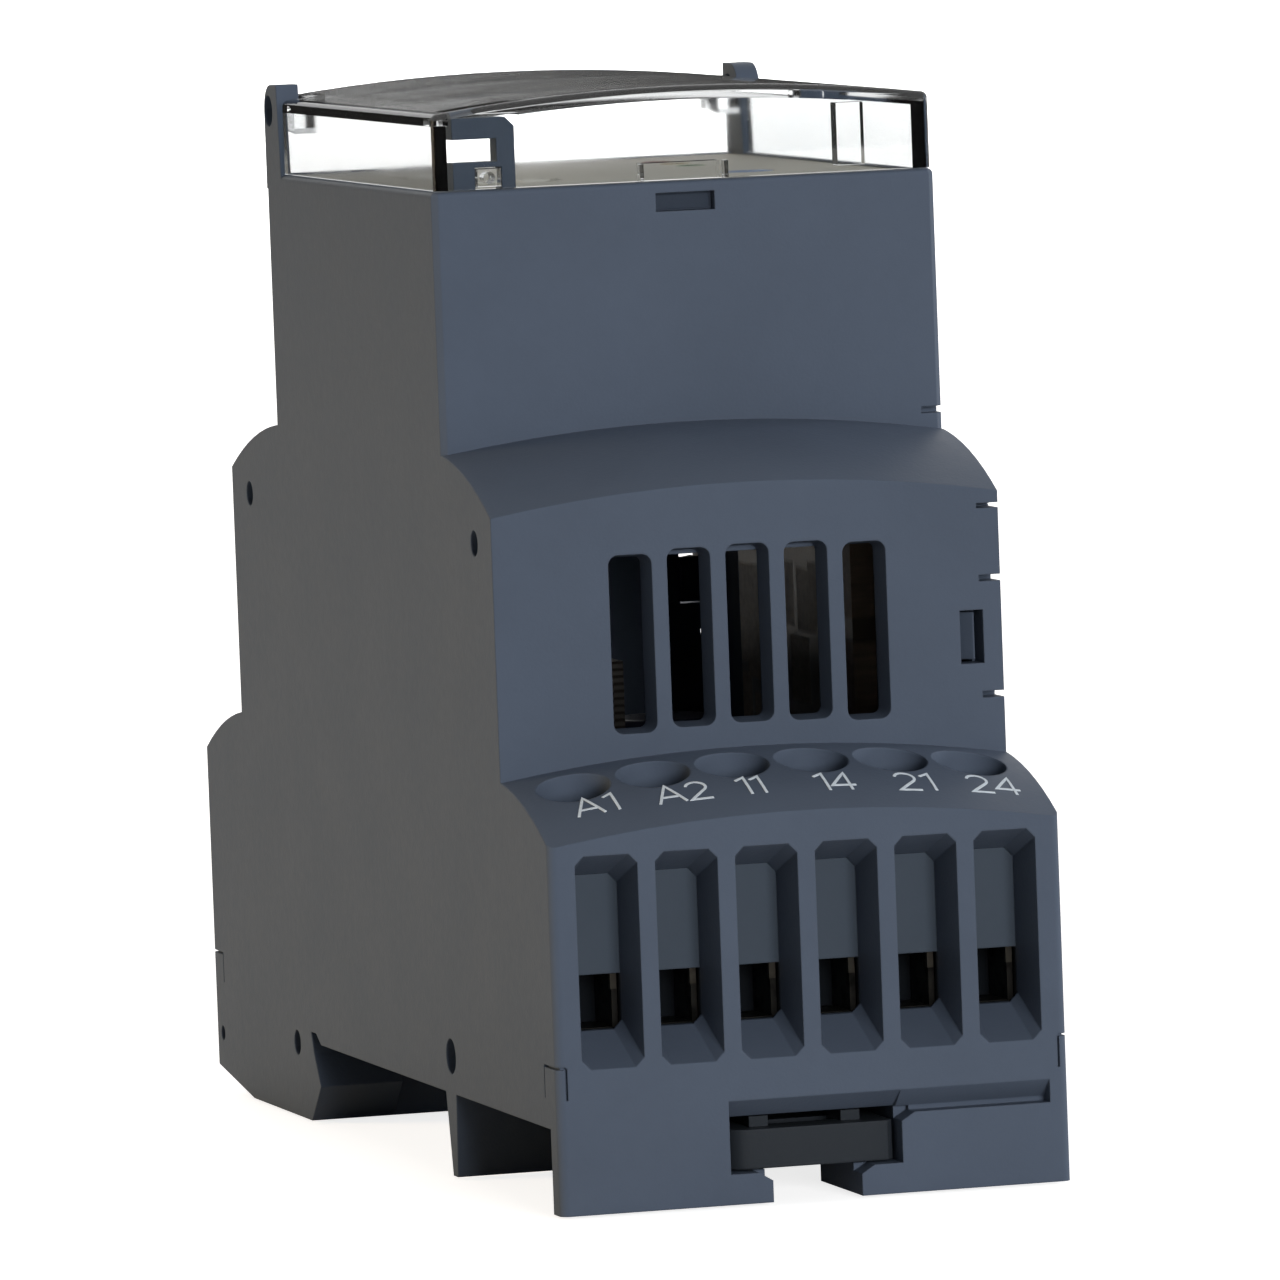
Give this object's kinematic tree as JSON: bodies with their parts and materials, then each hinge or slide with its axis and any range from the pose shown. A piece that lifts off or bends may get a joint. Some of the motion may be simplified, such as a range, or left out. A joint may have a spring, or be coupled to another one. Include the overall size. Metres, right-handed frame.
{
  "type": "motor monitoring relay",
  "caption": "Slim rail-mounted monitoring relay: stepped grey-blue housing, hinged clear front cover, screw terminals at both ends, vents and a sprung rail clip",
  "frame": {"origin": "middle of the back plane, where the feet rest", "axes": "+Z out of the front, +Y along the height towards the cover's hinge, +X to the right seen from the rail clip's end"},
  "size_m": [0.035, 0.09, 0.0725],
  "materials": {
    "housing_grey_blue": "satin",
    "clear_plastic": "clear",
    "carrier_grey": "satin",
    "clip_black": "satin",
    "zinc_steel": "satin",
    "contact_brass": "satin",
    "panel_grey": "satin",
    "board_brown": "gloss",
    "relay_case": "satin",
    "transformer_core": "satin",
    "capacitor_sleeve": "gloss",
    "knob_white": "satin",
    "button_blue": "gloss",
    "light_green": "clear",
    "light_yellow": "clear",
    "light_red": "clear"
  },
  "bodies": {
    "case": {"housing": "housing_grey_blue", "side_cover": "housing_grey_blue", "front_panel": "panel_grey", "terminal_carrier_near": "carrier_grey", "terminal_carrier_far": "carrier_grey", "contact_bar_1": "contact_brass", "contact_bar_2": "contact_brass", "contact_bar_3": "contact_brass", "contact_bar_4": "contact_brass", "contact_bar_5": "contact_brass", "contact_bar_6": "contact_brass", "contact_bar_7": "contact_brass", "contact_bar_8": "contact_brass", "contact_bar_9": "contact_brass", "contact_bar_10": "contact_brass", "contact_bar_11": "contact_brass", "contact_bar_12": "contact_brass", "base_board": "board_brown", "front_board": "board_brown", "riser_board": "board_brown", "output_relay_1": "relay_case", "output_relay_2": "relay_case", "transformer": "transformer_core", "capacitor": "capacitor_sleeve", "selector_base": "relay_case", "delay_base": "relay_case", "button_switch": "relay_case", "power_light": "light_green", "relay_light": "light_yellow", "fault_light": "light_red"},
    "clear_cover": {"clear_cover": "clear_plastic"},
    "din_clip": {"din_clip": "clip_black"},
    "terminal_screw_1": {"terminal_screw_1": "zinc_steel"},
    "terminal_screw_2": {"terminal_screw_2": "zinc_steel"},
    "terminal_screw_3": {"terminal_screw_3": "zinc_steel"},
    "terminal_screw_4": {"terminal_screw_4": "zinc_steel"},
    "terminal_screw_5": {"terminal_screw_5": "zinc_steel"},
    "terminal_screw_6": {"terminal_screw_6": "zinc_steel"},
    "terminal_screw_7": {"terminal_screw_7": "zinc_steel"},
    "terminal_screw_8": {"terminal_screw_8": "zinc_steel"},
    "terminal_screw_9": {"terminal_screw_9": "zinc_steel"},
    "terminal_screw_10": {"terminal_screw_10": "zinc_steel"},
    "terminal_screw_11": {"terminal_screw_11": "zinc_steel"},
    "terminal_screw_12": {"terminal_screw_12": "zinc_steel"},
    "terminal_cage_1": {"terminal_cage_1": "zinc_steel"},
    "terminal_cage_2": {"terminal_cage_2": "zinc_steel"},
    "terminal_cage_3": {"terminal_cage_3": "zinc_steel"},
    "terminal_cage_4": {"terminal_cage_4": "zinc_steel"},
    "terminal_cage_5": {"terminal_cage_5": "zinc_steel"},
    "terminal_cage_6": {"terminal_cage_6": "zinc_steel"},
    "terminal_cage_7": {"terminal_cage_7": "zinc_steel"},
    "terminal_cage_8": {"terminal_cage_8": "zinc_steel"},
    "terminal_cage_9": {"terminal_cage_9": "zinc_steel"},
    "terminal_cage_10": {"terminal_cage_10": "zinc_steel"},
    "terminal_cage_11": {"terminal_cage_11": "zinc_steel"},
    "terminal_cage_12": {"terminal_cage_12": "zinc_steel"},
    "selector_knob": {"selector_knob": "knob_white"},
    "delay_knob": {"delay_knob": "knob_white"},
    "reset_button": {"reset_button": "button_blue"}
  },
  "joints": [
    {"name": "cover_swing", "type": "hinge", "parent": "case", "child": "clear_cover", "pos_m": [0, 0.0198, 0.07056], "axis": [-1, 0, 0], "range_deg": [0, 110]},
    {"name": "clip_pull", "type": "slide", "parent": "case", "child": "din_clip", "axis": [0, -1, 0], "range_m": [0, 0.0024], "stiffness_N_per_m": 1500, "springref_m": -0.002},
    {"name": "selector_turn", "type": "hinge", "parent": "case", "child": "selector_knob", "pos_m": [-0.008, -0.008, 0.064], "axis": [0, 0, -1], "range_deg": [-135, 135]},
    {"name": "delay_turn", "type": "hinge", "parent": "case", "child": "delay_knob", "pos_m": [-0.008, 0.005, 0.064], "axis": [0, 0, -1], "range_deg": [-135, 135]},
    {"name": "reset_press", "type": "slide", "parent": "case", "child": "reset_button", "axis": [0, 0, -1], "range_m": [0, 0.0006], "stiffness_N_per_m": 800, "springref_m": -0.0005},
    {"name": "screw_turn_1", "type": "hinge", "parent": "case", "child": "terminal_screw_1", "pos_m": [-0.01362, -0.0379, 0.018], "axis": [0, 0, -1], "range_deg": [0, 2160]},
    {"name": "cage_lift_1", "type": "slide", "parent": "case", "child": "terminal_cage_1", "axis": [0, 0, 1], "range_m": [0, 0.003]},
    {"name": "screw_turn_2", "type": "hinge", "parent": "case", "child": "terminal_screw_2", "pos_m": [-0.00817, -0.0379, 0.018], "axis": [0, 0, -1], "range_deg": [0, 2160]},
    {"name": "cage_lift_2", "type": "slide", "parent": "case", "child": "terminal_cage_2", "axis": [0, 0, 1], "range_m": [0, 0.003]},
    {"name": "screw_turn_3", "type": "hinge", "parent": "case", "child": "terminal_screw_3", "pos_m": [-0.00272, -0.0379, 0.018], "axis": [0, 0, -1], "range_deg": [0, 2160]},
    {"name": "cage_lift_3", "type": "slide", "parent": "case", "child": "terminal_cage_3", "axis": [0, 0, 1], "range_m": [0, 0.003]},
    {"name": "screw_turn_4", "type": "hinge", "parent": "case", "child": "terminal_screw_4", "pos_m": [0.00272, -0.0379, 0.018], "axis": [0, 0, -1], "range_deg": [0, 2160]},
    {"name": "cage_lift_4", "type": "slide", "parent": "case", "child": "terminal_cage_4", "axis": [0, 0, 1], "range_m": [0, 0.003]},
    {"name": "screw_turn_5", "type": "hinge", "parent": "case", "child": "terminal_screw_5", "pos_m": [0.00817, -0.0379, 0.018], "axis": [0, 0, -1], "range_deg": [0, 2160]},
    {"name": "cage_lift_5", "type": "slide", "parent": "case", "child": "terminal_cage_5", "axis": [0, 0, 1], "range_m": [0, 0.003]},
    {"name": "screw_turn_6", "type": "hinge", "parent": "case", "child": "terminal_screw_6", "pos_m": [0.01362, -0.0379, 0.018], "axis": [0, 0, -1], "range_deg": [0, 2160]},
    {"name": "cage_lift_6", "type": "slide", "parent": "case", "child": "terminal_cage_6", "axis": [0, 0, 1], "range_m": [0, 0.003]},
    {"name": "screw_turn_7", "type": "hinge", "parent": "case", "child": "terminal_screw_7", "pos_m": [-0.01362, 0.0379, 0.018], "axis": [0, 0, -1], "range_deg": [0, 2160]},
    {"name": "cage_lift_7", "type": "slide", "parent": "case", "child": "terminal_cage_7", "axis": [0, 0, 1], "range_m": [0, 0.003]},
    {"name": "screw_turn_8", "type": "hinge", "parent": "case", "child": "terminal_screw_8", "pos_m": [-0.00817, 0.0379, 0.018], "axis": [0, 0, -1], "range_deg": [0, 2160]},
    {"name": "cage_lift_8", "type": "slide", "parent": "case", "child": "terminal_cage_8", "axis": [0, 0, 1], "range_m": [0, 0.003]},
    {"name": "screw_turn_9", "type": "hinge", "parent": "case", "child": "terminal_screw_9", "pos_m": [-0.00272, 0.0379, 0.018], "axis": [0, 0, -1], "range_deg": [0, 2160]},
    {"name": "cage_lift_9", "type": "slide", "parent": "case", "child": "terminal_cage_9", "axis": [0, 0, 1], "range_m": [0, 0.003]},
    {"name": "screw_turn_10", "type": "hinge", "parent": "case", "child": "terminal_screw_10", "pos_m": [0.00272, 0.0379, 0.018], "axis": [0, 0, -1], "range_deg": [0, 2160]},
    {"name": "cage_lift_10", "type": "slide", "parent": "case", "child": "terminal_cage_10", "axis": [0, 0, 1], "range_m": [0, 0.003]},
    {"name": "screw_turn_11", "type": "hinge", "parent": "case", "child": "terminal_screw_11", "pos_m": [0.00817, 0.0379, 0.018], "axis": [0, 0, -1], "range_deg": [0, 2160]},
    {"name": "cage_lift_11", "type": "slide", "parent": "case", "child": "terminal_cage_11", "axis": [0, 0, 1], "range_m": [0, 0.003]},
    {"name": "screw_turn_12", "type": "hinge", "parent": "case", "child": "terminal_screw_12", "pos_m": [0.01362, 0.0379, 0.018], "axis": [0, 0, -1], "range_deg": [0, 2160]},
    {"name": "cage_lift_12", "type": "slide", "parent": "case", "child": "terminal_cage_12", "axis": [0, 0, 1], "range_m": [0, 0.003]}
  ],
  "couplings": [
    {"joint": "screw_turn_1", "follows": "cage_lift_1", "rad_per_m": 12566},
    {"joint": "screw_turn_2", "follows": "cage_lift_2", "rad_per_m": 12566},
    {"joint": "screw_turn_3", "follows": "cage_lift_3", "rad_per_m": 12566},
    {"joint": "screw_turn_4", "follows": "cage_lift_4", "rad_per_m": 12566},
    {"joint": "screw_turn_5", "follows": "cage_lift_5", "rad_per_m": 12566},
    {"joint": "screw_turn_6", "follows": "cage_lift_6", "rad_per_m": 12566},
    {"joint": "screw_turn_7", "follows": "cage_lift_7", "rad_per_m": 12566},
    {"joint": "screw_turn_8", "follows": "cage_lift_8", "rad_per_m": 12566},
    {"joint": "screw_turn_9", "follows": "cage_lift_9", "rad_per_m": 12566},
    {"joint": "screw_turn_10", "follows": "cage_lift_10", "rad_per_m": 12566},
    {"joint": "screw_turn_11", "follows": "cage_lift_11", "rad_per_m": 12566},
    {"joint": "screw_turn_12", "follows": "cage_lift_12", "rad_per_m": 12566}
  ]
}
